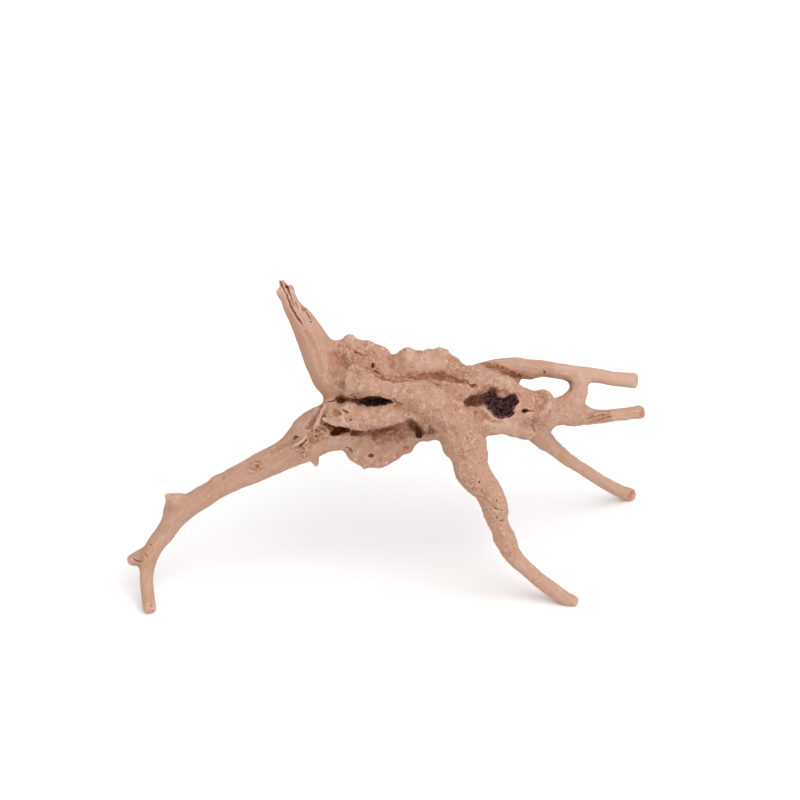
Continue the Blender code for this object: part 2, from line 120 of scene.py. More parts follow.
# Torn fibres and knots seen from the front: radius and how proud, in millimetres, then pixels
FIBRES = {
    "horn_lobe": (1.2, 0.3, [(279, 285), (278.5, 290), (281, 296)]),
    "horn_tip_left": (0.8, 0.2, [(279, 281.5), (280, 287), (284, 296)]),
    "horn_tip_right": (0.8, 0.2, [(283, 282), (286, 289), (291, 299)]),
    "horn_splinter": (0.8, 0.6, [(306.5, 308), (309, 315), (313, 325)]),
    "arm_ridge": (1.1, 0.2, [(325, 407), (322, 413), (320, 419), (317.5, 424), (315, 428)]),
    "arm_strand": (1.2, 1.1, [(292, 447), (297, 444), (302, 441), (306, 436)]),
    "arm_strand_low": (0.8, 0.7, [(300, 448), (304, 444), (309, 441)]),
    "fibre_knot": (0.8, 0.7, [(300, 447), (303, 450), (306, 454)]),
    "fibre_fan": (0.6, 1.0, [(303, 446), (307, 447), (310, 450)]),
    "fibre_fan_low": (0.6, 0.9, [(300, 450), (304, 454), (305, 458)]),
    "junction_fan": (0.6, 1.0, [(318, 434), (321, 437), (320, 441)]),
    "fibre_knot_top": (0.8, 0.9, [(304, 446), (306.5, 449), (307, 452)]),
    "junction_curl": (0.8, 0.9, [(313, 428), (315, 432), (318.5, 433), (320, 430)]),
    "junction_curl_right": (0.8, 0.9, [(321, 433), (324, 431), (326, 427)]),
    "junction_bead": (1.2, 0.8, [(333, 427), (333.5, 428)]),
    "junction_fibre": (0.9, 0.8, [(318, 425), (323, 427), (329, 427)]),
    "curly_knot": (0.9, 0.7, [
        (252, 468), (254, 463.5), (259, 463), (261.5, 467), (258, 470), (255.5, 467.5),
    ]),
    "curly_knot_tail": (0.8, 0.5, [(248, 470), (252, 471.5), (257, 471.5)]),
    "hole_lip": (0.6, 0.3, [(371, 368.5), (375, 368), (378.5, 371), (378, 374.5)]),
    "step": (0.8, 0.1, [(493, 503), (498, 506), (504, 508)]),
    "patch_fibre": (0.6, 0.3, [(586, 417), (597, 413.5), (609, 412)]),
    "patch_fibre_low": (0.6, 0.2, [(590, 420), (602, 417)]),
    "ring_left": (0.6, 0.3, [(284, 449), (289, 446.5), (293, 449)]),
    "ring_right": (0.6, 0.2, [(291, 452), (296, 449.5), (300, 452)]),
}

# Cuts and dents seen from the front: profile, half width and height in millimetres, stain and painted shade,
# then pixels
HORN_MARKS = {
    "hole": ("pit", 1.2, -2.0, 0.9, [(287, 286.5)]),
    "crack": ("cut", 0.8, -1.6, 0.8, [
        (283, 289), (287, 295), (290, 304), (293, 311), (298, 318), (303, 326),
    ]),
    "tip_gap": ("cut", 0.8, -1.6, 0.7, [(280.5, 281), (282, 285), (284.5, 290)]),
    "tip_gap_right": ("cut", 0.8, -1.4, 0.7, [(285, 283.5), (288, 289), (290, 295)]),
    "splinter_notch": ("round", 1.5, -1.6, 0.0, [(303, 305.5), (304.5, 309)]),
    "crack_left": ("cut", 0.6, -0.9, 0.6, [(289, 290), (291, 296), (294, 306)]),
    "crack_right": ("cut", 0.6, -0.8, 0.6, [(295, 301), (298, 309)]),
    "splinter_crack": ("cut", 0.6, -0.9, 0.6, [(305.5, 311), (308, 316), (311, 320)]),
    "knot": ("pit", 0.9, -0.8, 0.5, [(311, 322)]),
    "hollow": ("round", 5.5, -0.7, 0.0, [(333, 357), (336, 366), (332, 374)]),
    "long_dent": ("round", 2.5, -0.5, 0.0, [(306, 332), (316, 350), (322, 372)]),
}
RIDGE_MARKS = {
    "slit": ("cut", 1.0, -0.9, 0.6, [(354, 351.5), (358, 353), (362, 355.5)]),
    "hole": ("pit", 1.2, -1.6, 0.9, [(372.5, 364.8)]),
    "patch": ("round", 2.2, -0.3, 0.5, [(372, 370), (377, 374)]),
    # The crease's stain is painted shadow under the overhanging ridge.
    "crease": ("round", 2.1, -1.3, 0.4, [
        (377, 375), (382, 377.5), (391, 379.5), (400, 380), (410, 378.5), (422, 376.5), (435, 376.5),
        (447, 378.5), (458, 381), (467, 383),
    ]),
    "crease_start": ("cut", 1.0, -1.0, 0.7, [(374, 370), (378, 374), (384, 377.5), (392, 378.5)]),
    "crease_shade": ("round", 3.4, -0.6, 0.2, [
        (398, 377), (415, 374.5), (430, 373), (445, 375), (460, 379),
    ]),
    "spot": ("pit", 0.9, -0.7, 0.5, [(404.5, 350)]),
    "pit_left": ("pit", 0.8, -0.7, 0.5, [(437, 385)]),
    "pit_right": ("pit", 0.8, -0.7, 0.5, [(446, 385)]),
    "pit_low": ("pit", 0.7, -0.5, 0.3, [(441, 388)]),
    "slot": ("cut", 0.9, -1.2, 0.8, [(469, 384.5), (472.5, 386.5), (476, 385)]),
    "dip_left": ("round", 3.6, -0.8, 0.0, [(386, 344), (390, 354), (392, 364)]),
    "dip_right": ("round", 2.8, -0.7, 0.0, [(419, 350), (417, 358), (412, 366)]),
    "dip_low": ("round", 2.4, -0.6, 0.0, [(366, 339), (365, 345)]),
    "knob_left": ("round", 3.0, 0.6, 0.0, [(347, 339), (352, 338)]),
    "knob_small": ("round", 1.8, 0.6, 0.0, [(372, 345)]),
    "knob_low": ("round", 2.2, 0.5, 0.0, [(383, 348)]),
    "knob_middle": ("round", 2.6, 0.5, 0.0, [(408, 350), (414, 351)]),
    "knob_right": ("round", 2.6, 0.6, 0.0, [(429, 350), (432, 351)]),
    "knob_end": ("round", 1.8, 0.6, 0.0, [(440, 350)]),
    "lump": ("round", 3.4, 0.7, 0.0, [(448, 362), (456, 366)]),
}
CREVICE_MARKS = {
    "left_crease": ("cut", 1.4, -1.8, 0.5, [(327, 402.5), (336, 399.5), (343, 398), (350, 400), (362, 401)]),
    "tail": ("cut", 0.9, -1.6, 0.85, [(392, 398), (397, 402), (401, 404.5)]),
    "lip_bite_left": ("pit", 1.1, -0.9, 0.6, [(347, 398)]),
    "lip_bite_middle": ("pit", 1.1, -0.9, 0.6, [(355, 397.5)]),
    "lip_bite_right": ("pit", 1.0, -0.8, 0.6, [(362, 398.5)]),
}
SADDLE_MARKS = {
    "hollow": ("round", 2.4, -1.2, 0.3, [(334, 411.5), (339, 412.5)]),
    "hollow_edge": ("cut", 0.8, -0.9, 0.7, [(334, 415), (337, 415.5), (341, 414)]),
    "slot": ("cut", 1.0, -1.6, 0.8, [(343, 408.5), (346, 411), (348.5, 413)]),
    "rim_pit": ("pit", 0.9, -0.9, 0.5, [(350.5, 420)]),
    "beak_line": ("cut", 1.0, -1.6, 0.9, [
        (323, 421.5), (328, 424.5), (334, 426.8), (341, 428.5), (350, 430.5),
    ]),
    "ledge_shade": ("round", 2.2, -0.6, 0.2, [(366, 433), (376, 430.5), (391, 427.5), (404, 424)]),
    "ledge_tooth": ("round", 1.4, 0.6, 0.0, [(365, 428)]),
    "ledge_tooth_left": ("round", 1.2, 0.5, 0.0, [(354, 427.5)]),
    "ledge_tooth_right": ("round", 1.2, 0.5, 0.0, [(386, 424.5)]),
    "strand_dent": ("round", 2.4, -0.5, 0.0, [(384, 413), (390, 410)]),
    "nib": ("round", 0.9, 0.8, 0.0, [(364.5, 405.5)]),
    "peak": ("round", 1.6, 0.9, 0.0, [(394, 403.5)]),
    # The stain of ledge_dark, ledge_line, recess and recess_right is painted shade under the ledge.
    "ledge_dark": ("cut", 1.2, -1.0, 0.45, [(369, 431.5), (372, 427.5), (377, 428.5), (384, 427)]),
    "ledge_line": ("cut", 0.8, -0.7, 0.4, [(348, 430.5), (356, 431.5), (366, 431.5)]),
    "recess": ("round", 1.6, -0.8, 0.2, [(412, 421), (416, 425), (418, 430), (420, 436)]),
    "recess_right": ("cut", 0.9, -1.0, 0.6, [(429, 425), (430, 429), (429, 433)]),
}
BELLY_MARKS = {
    "slot": ("cut", 1.0, -1.5, 0.85, [(345.5, 447.5), (349.5, 449), (353, 452)]),
    "hole": ("pit", 1.4, -1.6, 0.9, [(370, 455.3), (372.5, 456)]),
    "groove": ("round", 2.4, -0.6, 0.0, [(378, 443), (388, 440), (398, 442)]),
    "groove_right": ("round", 2.4, -0.8, 0.0, [(401, 434), (405, 440), (406, 447)]),
    "lobe_left": ("round", 2.4, 0.8, 0.0, [(356, 459)]),
    "lobe_low": ("round", 3.0, 1.0, 0.0, [(364, 467)]),
    "lobe_gap": ("round", 1.6, -0.8, 0.0, [(371.5, 467)]),
    "lobe_middle": ("round", 2.6, 0.8, 0.0, [(378, 464), (386, 463)]),
    "lobe_right": ("round", 2.2, 0.8, 0.0, [(395, 457)]),
    "lobe_notch": ("round", 1.4, -0.8, 0.0, [(391.5, 463)]),
}
ARM_MARKS = {
    "notch": ("pit", 0.9, -1.0, 0.8, [(315, 421)]),
    "ridge": ("round", 1.9, 1.3, 0.0, [(325, 406), (321, 414), (318.5, 421), (315, 428)]),
    # The stain under the ridge is painted shade.
    "under_ridge": ("round", 2.4, -1.1, 0.15, [(320.5, 406), (316.5, 413), (312.5, 421), (307, 427)]),
    "curl_dark_left": ("pit", 0.7, -1.0, 0.8, [(315.5, 430)]),
    "curl_dark_right": ("pit", 0.7, -1.0, 0.8, [(318.5, 431)]),
    "slash": ("cut", 0.7, -1.1, 0.8, [(324, 428.5), (325.5, 432)]),
    "dot_left": ("pit", 0.7, -0.8, 0.7, [(315.5, 436.5)]),
    "dot_right": ("pit", 0.7, -0.8, 0.7, [(318, 439)]),
    "hole": ("cut", 1.0, -1.8, 0.9, [(293, 438.5), (296, 436.5), (299, 437)]),
    "crack": ("cut", 0.8, -1.4, 0.9, [(307.5, 438.5), (303, 443), (298.5, 447.5)]),
    "knot_dark": ("pit", 0.8, -0.9, 0.8, [(303, 452.5)]),
    "knot_dark_low": ("pit", 0.7, -0.7, 0.6, [(306.5, 457)]),
    "curly_dark": ("pit", 0.8, -0.8, 0.7, [(257, 466.5)]),
    "curly_edge": ("cut", 0.7, -0.8, 0.5, [(250, 463.5), (255, 461.5), (261, 462)]),
    "top_dent": ("round", 2.4, -0.6, 0.1, [(272, 452), (284, 445), (296, 439)]),
}
FOOT_MARKS = {
    "crease": ("cut", 0.8, -0.9, 0.6, [(133, 558), (138, 561.5), (142, 561)]),
    "pinhole": ("pit", 0.7, -0.9, 0.9, [(150.5, 545)]),
    "mark": ("cut", 0.7, -0.6, 0.6, [(145, 553), (147, 557)]),
    "cut_end": ("round", 1.5, -0.4, 0.5, [(151, 606)]),
}
LEG_MARKS = {
    "pinhole": ("pit", 0.8, -1.2, 1.0, [(497, 500)]),
    "pinhole_top": ("pit", 0.7, -0.9, 0.7, [(479, 482)]),
    "pinhole_low": ("pit", 0.7, -0.9, 0.7, [(497, 518)]),
    "pinhole_right": ("pit", 0.7, -0.9, 0.7, [(501, 520.5)]),
    "step_edge": ("cut", 0.8, -0.7, 0.3, [(492, 505.5), (497, 509), (503, 511)]),
    "front_groove": ("round", 3.4, -0.6, 0.0, [(455, 430), (458, 446), (464, 458)]),
    "knee": ("round", 3.0, 0.6, 0.0, [(459, 466), (462, 474)]),
    "bump_top": ("round", 2.4, 0.5, 0.0, [(468, 447)]),
    "bump_low": ("round", 2.4, 0.6, 0.0, [(470, 466)]),
}
KNUCKLE_MARKS = {
    "hole": ("pit", 1.3, -1.8, 0.95, [(524.5, 411)]),
    "tail": ("cut", 0.8, -1.0, 0.7, [(526, 410.5), (530, 411), (534, 412)]),
    "crack": ("cut", 0.7, -0.9, 0.6, [(530.5, 424), (533, 427), (535, 431)]),
    "crack_up": ("cut", 0.6, -0.6, 0.4, [(527, 417), (530, 420), (529, 424)]),
    "spot": ("cut", 0.7, -0.8, 0.6, [(550, 409.5), (550, 413)]),
    "fill": ("round", 3.4, 0.9, 0.0, [(535, 397), (540, 403)]),
    "rim_fill": ("round", 3.6, 1.3, 0.0, [(486, 423), (498, 426), (514, 426)]),
}
BRANCH_MARKS = {
    "knot": ("pit", 1.0, -0.8, 0.85, [(544, 372)]),
    "knot_hook": ("cut", 0.6, -0.5, 0.5, [(543, 369), (545, 372), (543, 375)]),
    "bridge_corner": ("round", 2.4, -0.9, 0.0, [(570, 383), (569, 389)]),
    "bump_edge": ("cut", 0.7, -0.5, 0.4, [(524, 378.5), (529, 381), (533, 378)]),
    "patch_cut": ("cut", 0.6, -0.7, 0.5, [(585, 419), (596, 416), (608, 414)]),
    "patch_cut_low": ("cut", 0.6, -0.6, 0.5, [(592, 421.5), (603, 419), (612, 416)]),
    "patch_pit": ("pit", 0.8, -0.8, 0.7, [(588.5, 418)]),
    "end_middle": ("round", 2.0, -0.3, 0.4, [(643, 410), (641.5, 415)]),
    "end_low": ("round", 2.0, -0.3, 0.4, [(633, 492), (630, 497)]),
    "end_top": ("round", 1.8, -0.2, 0.4, [(637.5, 376), (637, 381)]),
}
MARKS = [
    HORN_MARKS, RIDGE_MARKS, CREVICE_MARKS, SADDLE_MARKS, BELLY_MARKS, ARM_MARKS, FOOT_MARKS, LEG_MARKS,
    KNUCKLE_MARKS, BRANCH_MARKS,
]

# Marks on the far side: the same, but with x and minus the height above the floor in millimetres
BACK_MARKS = {
    # The stain of the valleys, the grooves and the knuckle crease is painted shade.
    "ridge_valley": ("round", 3.4, -2.6, 0.45, [
        (-22, -128), (-6, -125), (12, -121), (32, -120), (50, -117),
    ]),
    "ridge_crease": ("cut", 1.4, -1.8, 0.85, [(-18, -127), (-4, -124), (14, -120.5), (30, -119.5)]),
    "belly_valley": ("round", 3.6, -2.2, 0.4, [(-26, -106), (-12, -108), (4, -104), (20, -101)]),
    "belly_crease": ("cut", 1.3, -1.7, 0.8, [(-10, -107.5), (4, -104), (17, -101.5)]),
    "lump_cut": ("round", 7.0, -1.2, 0.0, [(-13, -101)]),
    "deep_hole": ("pit", 2.6, -4.2, 1.0, [(43, -109), (47, -108)]),
    "small_hole": ("pit", 1.3, -2.0, 0.9, [(62, -104)]),
    "knot_hole": ("pit", 1.6, -2.2, 0.9, [(-47, -93)]),
    "arm_crack": ("cut", 1.0, -1.8, 0.85, [(-40, -95), (-56, -86), (-72, -78), (-86, -71)]),
    "arm_crack_low": ("cut", 0.8, -1.2, 0.7, [(-98, -64), (-110, -56), (-119, -49)]),
    "arm_groove": ("round", 2.6, -1.0, 0.1, [(-60, -81), (-80, -72), (-100, -60)]),
    "horn_crack": ("cut", 1.0, -1.8, 0.8, [(-58, -172), (-53, -160), (-46, -148), (-41, -140)]),
    "horn_crack_right": ("cut", 0.8, -1.3, 0.7, [(-62, -171), (-59, -163), (-55, -155)]),
    "horn_groove": ("round", 2.6, -1.0, 0.1, [(-50, -156), (-42, -144), (-34, -134)]),
    "branch_crack": ("cut", 0.8, -1.3, 0.8, [(84, -117), (98, -114), (112, -111)]),
    "branch_knot": ("pit", 1.2, -1.2, 0.9, [(122, -109.5)]),
    "rear_leg_crack": ("cut", 0.8, -1.2, 0.8, [(96, -70), (106, -56), (118, -41)]),
    "front_leg_crack": ("cut", 0.8, -1.2, 0.7, [(48, -84), (54, -70), (58, -58)]),
    "knuckle_hole": ("pit", 1.5, -2.0, 0.9, [(88, -100)]),
    "knuckle_crease": ("round", 2.4, -1.4, 0.4, [(74, -112), (80, -106), (82, -96)]),
}

# Dark hollows seen from the front: how dark, how red, and the outline's pixels. The pocket holds dark rotted
# wood; the darkening of the crevice, of pocket_left and of the hollows under the beak, the lip and the ledge
# is painted shade.
HOLLOWS = {
    "crevice": (0.9, 0.25, [
        (356, 404.5), (362, 402.5), (369, 400), (376, 398), (384, 397), (391, 399), (388, 402), (379, 405),
        (371, 407.5), (364, 407),
    ]),
    "crevice_left": (0.6, 1.0, [
        (336, 400), (342, 395.5), (352, 395), (360, 395.5), (376, 395.5), (370, 400.5), (358, 405),
        (348, 402.5), (340, 402),
    ]),
    "crevice_tail": (0.7, 0.9, [
        (386, 396), (394, 397), (399, 400), (404, 405.5), (394, 405), (386, 408), (378, 409), (380, 404),
        (388, 402),
    ]),
    "pocket": (1.0, 0.0, [
        (483, 402), (484, 397), (488, 393), (494, 392.5), (498, 396), (502, 398), (510, 394), (518, 394.5),
        (519, 402), (516, 409), (514, 417), (502, 419.5), (493, 417.5), (486, 412), (487, 406),
    ]),
    "pocket_recess": (1.0, 0.62, [
        (463, 403), (468, 398), (475, 393.5), (482, 392), (490, 387.5), (498, 391), (502, 397), (494, 394),
        (488, 396), (485, 402), (480, 405), (466, 407),
    ]),
    "pocket_left": (0.6, 1.0, [(478, 405), (487, 404), (489, 412), (494, 419), (486, 417), (480, 411)]),
    "under_beak": (0.85, 1.0, [
        (326, 422), (334, 424.5), (342, 427), (350, 429), (352, 433), (343, 435), (334, 436), (330, 434),
    ]),
    "under_lip": (0.3, 1.0, [
        (344, 427), (352, 429), (368, 431), (384, 430), (384, 434), (368, 437), (350, 438), (342, 437),
    ]),
    "under_ledge": (0.12, 1.0, [
        (402, 421), (411, 418), (418, 420), (424, 428), (424, 438), (416, 439), (410, 434), (404, 430),
    ]),
}

# Patches seen from the front: how rough, how darkened by stain and painted shade or, below 0, how pale, and
# the outline's pixels
PATCHES = {
    # Under the ledge and in its recess the darkening is painted shade.
    "under_ledge": (1.0, 0.35, [
        (350, 431), (364, 432), (376, 429), (391, 426), (405, 423), (410, 436), (400, 444), (380, 442),
        (362, 438),
    ]),
    "ledge_recess": (1.0, 0.2, [(406, 418), (432, 418), (434, 436), (424, 441), (406, 440)]),
    "arm_junction": (1.0, 0.2, [
        (308, 424), (325, 424), (338, 426), (330, 434), (318, 444), (306, 454), (298, 458), (294, 448),
        (306, 440),
    ]),
    "curly_knot": (0.9, 0.3, [(248, 462), (262, 461), (265, 469), (254, 473)]),
    # The darkening of horn_hollow and of groove is painted shade in the hollow and along the groove.
    "horn_hollow": (0.3, 0.45, [(325, 350), (339, 350), (344, 364), (337, 380), (327, 374)]),
    "crevice_lip": (1.0, 0.5, [(334, 394), (350, 392), (368, 394), (366, 407), (350, 405), (334, 402)]),
    "groove": (1.0, 0.6, [
        (378, 374), (400, 375), (420, 371), (445, 371), (465, 377), (472, 384), (450, 383), (420, 381),
        (398, 384), (380, 380),
    ]),
    "ridge_low": (1.0, 0.12, [(436, 354), (470, 358), (484, 376), (462, 380), (440, 370)]),
    "ridge_left": (1.0, 0.12, [(336, 342), (376, 348), (384, 374), (352, 374), (338, 366)]),
    "knuckle": (0.6, 0.1, [(518, 388), (540, 384), (552, 398), (552, 420), (536, 436), (522, 426)]),
    "side_patch": (1.0, 0.4, [(582, 413), (612, 409), (614, 422), (588, 425)]),
    "bark": (0.8, 1.1, [
        (474, 362), (484, 360), (498, 362.5), (511, 368), (523, 374), (526, 381), (512, 379), (498, 374),
        (484, 368),
    ]),
    "pocket_rim": (0.8, 0.6, [
        (470, 393), (480, 387), (490, 382), (500, 386), (512, 391), (522, 391), (524, 400), (510, 398),
        (496, 394), (484, 396), (468, 404),
    ]),
    "rim_below": (0.05, -0.5, [(488, 421), (504, 422), (520, 421), (524, 430), (508, 436), (488, 434)]),
    "branch_end": (0.1, -0.35, [(552, 362), (640, 368), (640, 390), (552, 380)]),
    # ridge_top is made paler as painted light on the lit top of the ridge.
    "ridge_top": (0.25, -0.4, [(404, 352), (436, 350), (452, 362), (436, 374), (412, 370)]),
    "pocket_foot": (0.6, 0.25, [(462, 404), (484, 404), (490, 418), (505, 420), (504, 424), (486, 421)]),
}


def camera_axes():
    """Forward, right and up of the camera, as unit vectors."""
    lean = math.radians(ELEVATION)
    forward = np.array((0.0, math.cos(lean), -math.sin(lean)))
    right = np.array((1.0, 0.0, 0.0))
    up = np.array((0.0, math.sin(lean), math.cos(lean)))
    return forward, right, up


FORWARD, RIGHT, UP = camera_axes()
CAMERA_PLACE = np.array(TARGET) - DISTANCE * FORWARD
FOCAL_PIXELS = PICTURE * LENS / SENSOR
MM_PER_PIXEL = DISTANCE / FOCAL_PIXELS


def pixel_ray(px, py):
    """The direction from the camera through a pixel of the photograph."""
    half = PICTURE / 2
    ray = FORWARD + (px - half) / FOCAL_PIXELS * RIGHT - (py - half) / FOCAL_PIXELS * UP
    return ray / np.linalg.norm(ray)


def to_pixels(points):
    """Each point's pixel in the photograph, and its depth from the camera in millimetres."""
    away = points - CAMERA_PLACE
    depth = away @ FORWARD
    across = PICTURE / 2 + FOCAL_PIXELS * (away @ RIGHT) / depth
    down = PICTURE / 2 - FOCAL_PIXELS * (away @ UP) / depth
    return np.stack((across, down), axis=1), depth


def ease(value, low, high):
    """A soft step from 0 at low to 1 at high."""
    part = np.clip((value - low) / (high - low), 0, 1)
    return part * part * (3 - 2 * part)


# Meshes as arrays, in millimetres

def mesh_points(mesh):
    flat = np.empty(len(mesh.vertices) * 3)
    mesh.vertices.foreach_get("co", flat)
    return flat.reshape(-1, 3) / MM


def set_points(mesh, points):
    mesh.vertices.foreach_set("co", (points * MM).ravel())
    mesh.update()


def mesh_normals(mesh):
    flat = np.empty(len(mesh.vertices) * 3, np.float32)
    mesh.vertex_normals.foreach_get("vector", flat)
    return flat.reshape(-1, 3).astype(float)


def mesh_edges(mesh):
    flat = np.empty(len(mesh.edges) * 2, np.int32)
    mesh.edges.foreach_get("vertices", flat)
    return flat.reshape(-1, 2)


def spread(values, edges, rounds):
    """Moves each point's value half of the way to the mean of its neighbours' values, round by round."""
    count = len(values)
    first, second = edges[:, 0], edges[:, 1]
    degree = np.bincount(first, minlength=count) + np.bincount(second, minlength=count)
    columns = values.reshape(count, -1).T.copy()
    for _ in range(rounds):
        for row in columns:
            total = np.bincount(first, row[second], count) + np.bincount(second, row[first], count)
            row += (total / degree - row) / 2
    return columns.T.reshape(values.shape)


# Noise

CELL_FACTORS = (73856093, 19349663, 83492791)
SEED_FACTOR = 2654435761
MIX_FACTORS = (1274126177, 2246822519)
MIX_SHIFTS = (13, 15)
LOW_BITS = 0xFFFFFFFF
NUMBER_BITS = 10
NUMBERS = 1 << NUMBER_BITS
NOISE_GAIN = 1.6


def cell_numbers(cells, seed):
    """Three fixed pseudo-random numbers from 0 to 1 for each whole-number cell."""
    products = cells.astype(np.int64) * CELL_FACTORS
    mixed = products[:, 0] ^ products[:, 1] ^ products[:, 2] ^ seed * SEED_FACTOR
    for factor, shift in zip(MIX_FACTORS, MIX_SHIFTS):
        mixed = (mixed ^ (mixed >> shift)) * factor & LOW_BITS
    numbers = [(mixed >> step * NUMBER_BITS) % NUMBERS for step in range(3)]
    return np.stack(numbers, axis=1) / NUMBERS


def lattice_gradients(cells, seed):
    """A fixed pseudo-random direction for each whole-number cell."""
    numbers = cell_numbers(cells, seed)
    height = 2 * numbers[:, 0] - 1
    turn = 2 * math.pi * numbers[:, 1]
    reach = np.sqrt(1 - height * height)
    return np.stack((reach * np.cos(turn), reach * np.sin(turn), height), axis=1)


def smooth_noise(points, size, seed):
    """Gradient noise from about -1 to 1, with features of the given size."""
    scaled = points / size
    base = np.floor(scaled)
    part = scaled - base
    fade = part * part * part * (part * (part * 6 - 15) + 10)
    total = np.zeros(len(points))
    for corner in range(8):
        offset = np.array((corner & 1, corner >> 1 & 1, corner >> 2 & 1), float)
        gradient = lattice_gradients(base + offset, seed)
        value = ((part - offset) * gradient).sum(axis=1)
        weight = np.prod(np.where(offset > 0, fade, 1 - fade), axis=1)
        total += weight * value
    return total * NOISE_GAIN


def cell_noise(points, size, seed):
    """Distance to the nearest of scattered centres, as a share of their spacing."""
    scaled = points / size
    base = np.floor(scaled)
    best = np.full(len(points), np.inf)
    for number in range(27):
        offset = np.array((number % 3 - 1, number // 3 % 3 - 1, number // 9 - 1), float)
        centre = base + offset + cell_numbers(base + offset, seed)
        best = np.minimum(best, ((scaled - centre) ** 2).sum(axis=1))
    return np.sqrt(best)


# The base form

def evaluated_mesh(obj):
    graph = bpy.context.evaluated_depsgraph_get()
    graph.update()
    return bpy.data.meshes.new_from_object(obj.evaluated_get(graph))


def apply_modifiers(obj):
    baked = evaluated_mesh(obj)
    obj.modifiers.clear()
    old = obj.data
    obj.data = baked
    bpy.data.meshes.remove(old)


def copy_of_node(name):
    """A new object with its own copy of a CAD node's mesh."""
    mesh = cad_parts[name].data.copy()
    mesh.materials.clear()
    made = bpy.data.objects.new("root_skin", mesh)
    bpy.context.scene.collection.objects.link(made)
    return made


def add_tube(shape, places, radii):
    """A closed tube through the places, in metres."""
    rings = []
    for index, place in enumerate(places):
        before = places[max(index - 1, 0)]
        after = places[min(index + 1, len(places) - 1)]
        along = (after - before).normalized()
        side = along.orthogonal().normalized()
        other = along.cross(side)
        ring = []
        for step in range(TUBE_SIDES):
            turn = 2 * math.pi * step / TUBE_SIDES
            offset = side * math.cos(turn) + other * math.sin(turn)
            ring.append(shape.verts.new(place + offset * radii[index]))
        rings.append(ring)
    for lower, upper in zip(rings, rings[1:]):
        for step in range(TUBE_SIDES):
            after = (step + 1) % TUBE_SIDES
            shape.faces.new((lower[step], lower[after], upper[after], upper[step]))
    shape.faces.new(rings[0][::-1])
    shape.faces.new(rings[-1])


def add_fibres(shape):
    """Lays the torn fibres and knots on the wood where the photograph shows them."""
    tree = BVHTree.FromBMesh(shape)
    eye = Vector(CAMERA_PLACE * MM)
    for radius, proud, path in FIBRES.values():
        places = []
        for px, py in path:
            place, normal, _, _ = tree.ray_cast(eye, Vector(pixel_ray(px, py)))
            if place is not None:
                places.append(place + normal * (proud - radius / 2) * MM)
        if len(places) > 1:
            radii = [radius * MM] * len(places)
            radii[0] *= TUBE_TIP
            radii[-1] *= TUBE_TIP
            add_tube(shape, places, radii)


def round_off_facets(obj):
    """Splits every edge along the curve that its ends' normals give, and lays the fibres on."""
    shape = bmesh.new()
    shape.from_mesh(obj.data)
    bmesh.ops.remove_doubles(shape, verts=shape.verts, dist=SAME_PLACE * MM)
    for _ in range(FACET_SPLITS):
        bmesh.ops.subdivide_edges(
            shape, edges=shape.edges, cuts=1, smooth=FACET_CURVE, use_grid_fill=True,
        )
        bmesh.ops.triangulate(shape, faces=shape.faces)
    add_fibres(shape)
    shape.to_mesh(obj.data)
    shape.free()


def fine_skin(obj, voxel):
    skin = obj.modifiers.new("skin", "REMESH")
    skin.mode = "VOXEL"
    skin.voxel_size = voxel * MM
    apply_modifiers(obj)


def soften(obj, rounds):
    smooth = obj.modifiers.new("soften", "SMOOTH")
    smooth.factor = SOFT_SHARE
    smooth.iterations = rounds
    apply_modifiers(obj)


def thin_out(obj):
    triangles = sum(len(face.vertices) - 2 for face in obj.data.polygons)
    if triangles > MOST_TRIANGLES:
        thin = obj.modifiers.new("thin_out", "DECIMATE")
        thin.ratio = MOST_TRIANGLES / triangles
        thin.use_collapse_triangulate = True
        apply_modifiers(obj)


# Sculpting: cells, wander, edges and rims are in the view's pixels, sizes and depths in millimetres

VISIBLE_CELL = 1.5
VISIBLE_DEPTH = 2.5
TURNED_AWAY = -0.2
EDGE_ON = (-0.1, 0.25)
EDGE_ROUNDS = 2
WANDER = 0.9
WANDER_SIZE = 3.0
WANDER_SEEDS = (41, 42)
WELL_SEEN = 0.5
CUT_SHARPNESS = 1.2
PIT_FLOOR = 0.35
CUT_TIP = 0.05
CUT_OUTWARD = 0.4
CUT_TOWARDS_EYE = 0.6
PATCH_EDGE = 3.0
HOLLOW_EDGE = 1.6
HOLLOW_RIM = (1.0, 4.0)
HOLLOW_START = (0.2, 1.8)
HOLLOW_END = 24.0


def round_profile(share):
    return np.where(share < 1, (1 - share * share) ** 2, 0.0)


def cut_profile(share):
    return np.clip(1 - share, 0, 1) ** CUT_SHARPNESS


def pit_profile(share):
    return 1 - ease(share, PIT_FLOOR, 1.0)


PROFILES = {"round": round_profile, "cut": cut_profile, "pit": pit_profile}


def path_distance(pixels, path):
    """Each pixel's distance from the path, and how far along it the nearest place lies, from 0 to 1."""
    path = np.array(path, float)
    if len(path) == 1:
        return np.linalg.norm(pixels - path[0], axis=1), np.full(len(pixels), 0.5)
    steps = np.diff(path, axis=0)
    lengths = np.linalg.norm(steps, axis=1)
    passed = np.concatenate(((0.0,), np.cumsum(lengths)))
    best = np.full(len(pixels), np.inf)
    along = np.zeros(len(pixels))
    for start, step, length, before in zip(path, steps, lengths, passed):
        share = np.clip((pixels - start) @ step / length ** 2, 0, 1)
        distance = np.linalg.norm(pixels - start - share[:, None] * step, axis=1)
        closer = distance < best
        best[closer] = distance[closer]
        along[closer] = (before + share[closer] * length) / passed[-1]
    return best, along


def inside_outline(pixels, outline):
    """Whether each pixel is inside the closed outline."""
    inside = np.zeros(len(pixels), bool)
    across, down = pixels[:, 0], pixels[:, 1]
    for (ax, ay), (bx, by) in zip(outline, outline[1:] + outline[:1]):
        if ay != by:
            spans = (ay > down) != (by > down)
            crossing = ax + (down - ay) * (bx - ax) / (by - ay)
            inside ^= spans & (across < crossing)
    return inside


